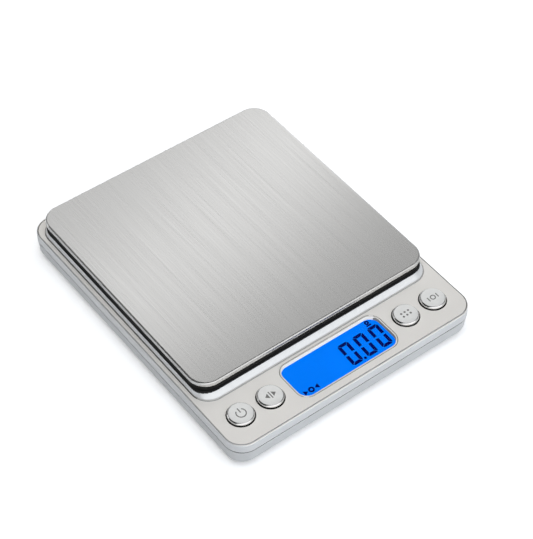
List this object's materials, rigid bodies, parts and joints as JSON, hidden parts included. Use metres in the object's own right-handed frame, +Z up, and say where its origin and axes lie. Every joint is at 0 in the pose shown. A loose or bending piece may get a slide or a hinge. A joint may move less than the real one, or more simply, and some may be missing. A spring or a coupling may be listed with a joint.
{
  "type": "digital gram scale",
  "caption": "Flat pocket scale with a square stainless weighing plate on a load cell, a backlit display, push buttons and a battery door below.",
  "frame": {"origin": "on the floor, under the middle of the case's outline", "axes": "+Z up, control panel facing -Y, +X along the panel to the viewer's right"},
  "size_m": [0.105, 0.127, 0.019],
  "materials": {
    "plate_steel": "fine straight brushing from front to back, bright folded edge",
    "silver_case": "satin silver paint on ABS",
    "button_silver": "silver plated, softly polished rim",
    "black_abs": "black moulded plastic, fine texture",
    "white_abs": "white moulded plastic",
    "clear_window": "clear moulded acrylic",
    "display": "backlit blue liquid-crystal cell with dark segments",
    "rubber_foot": "matt black rubber",
    "screw_steel": "zinc-plated steel",
    "beam_aluminium": "milled aluminium",
    "contact_nickel": "nickel-plated spring steel",
    "board_green": "green solder mask on glass-epoxy board",
    "epoxy_black": "black epoxy and sleeves",
    "sealant_white": "white silicone sealant",
    "foam_tape": "double-sided foam tape",
    "cell_wrap": "plain shrink-wrapped battery can",
    "wire_red": "PVC insulation",
    "wire_black": "PVC insulation",
    "wire_white": "PVC insulation",
    "wire_green": "PVC insulation"
  },
  "bodies": {
    "case": {"top_case": "silver_case", "bottom_case": "silver_case", "foot_front_left": "rubber_foot", "foot_front_right": "rubber_foot", "foot_rear_left": "rubber_foot", "foot_rear_right": "rubber_foot", "case_screw_front_left": "screw_steel", "case_screw_front_right": "screw_steel", "case_screw_rear_left": "screw_steel", "case_screw_rear_right": "screw_steel", "load_cell": "beam_aluminium", "gauge_coating_top": "sealant_white", "gauge_coating_bottom": "sealant_white", "cell_screw_1": "screw_steel", "cell_screw_2": "screw_steel", "switch_body_power": "epoxy_black", "switch_body_mode": "epoxy_black", "switch_body_count": "epoxy_black", "switch_body_tare": "epoxy_black", "display_window": "clear_window", "lcd_glass": "display", "lcd_backlight": "white_abs", "lcd_holder": "white_abs", "zebra_strip": "rubber_foot", "main_pcb": "board_green", "chip_blob": "epoxy_black", "crystal": "contact_nickel", "capacitor": "epoxy_black", "pcb_screw_1": "screw_steel", "pcb_screw_2": "screw_steel", "pcb_screw_3": "screw_steel", "pcb_screw_4": "screw_steel", "battery_1": "cell_wrap", "battery_2": "cell_wrap", "spring_contact_1": "contact_nickel", "spring_contact_2": "contact_nickel", "contact_tab_negative": "contact_nickel", "contact_tab_positive": "contact_nickel", "contact_bridge": "contact_nickel", "sensor_wire_red": "wire_red", "sensor_wire_black": "wire_black", "sensor_wire_white": "wire_white", "sensor_wire_green": "wire_green", "battery_wire_negative": "wire_black", "battery_wire_positive": "wire_red"},
    "platform": {"weighing_plate": "plate_steel", "plate_tape_left": "foam_tape", "plate_tape_right": "foam_tape", "platform_carrier": "black_abs", "platform_screw_1": "screw_steel", "platform_screw_2": "screw_steel"},
    "power_key": {"button_power": "button_silver", "switch_plunger_power": "epoxy_black"},
    "mode_key": {"button_mode": "button_silver", "switch_plunger_mode": "epoxy_black"},
    "count_key": {"button_count": "button_silver", "switch_plunger_count": "epoxy_black"},
    "tare_key": {"button_tare": "button_silver", "switch_plunger_tare": "epoxy_black"},
    "door": {"battery_door": "silver_case"}
  },
  "joints": [
    {"name": "platform_press", "type": "slide", "parent": "case", "child": "platform", "axis": [0, 0, -1], "range_m": [0, 0.0006], "stiffness_N_per_m": 14000, "deforming": ["load_cell"]},
    {"name": "power_press", "type": "slide", "parent": "case", "child": "power_key", "axis": [0, 0, -1], "range_m": [0, 0.0004], "stiffness_N_per_m": 100, "springref_m": -0.0005},
    {"name": "mode_press", "type": "slide", "parent": "case", "child": "mode_key", "axis": [0, 0, -1], "range_m": [0, 0.0004], "stiffness_N_per_m": 100, "springref_m": -0.0005},
    {"name": "count_press", "type": "slide", "parent": "case", "child": "count_key", "axis": [0, 0, -1], "range_m": [0, 0.0004], "stiffness_N_per_m": 100, "springref_m": -0.0005},
    {"name": "tare_press", "type": "slide", "parent": "case", "child": "tare_key", "axis": [0, 0, -1], "range_m": [0, 0.0004], "stiffness_N_per_m": 100, "springref_m": -0.0005},
    {"name": "door_hinge", "type": "hinge", "parent": "case", "child": "door", "pos_m": [0, 0.0314, 0.00105], "axis": [-1, 0, 0], "range_deg": [0, 75]}
  ]
}
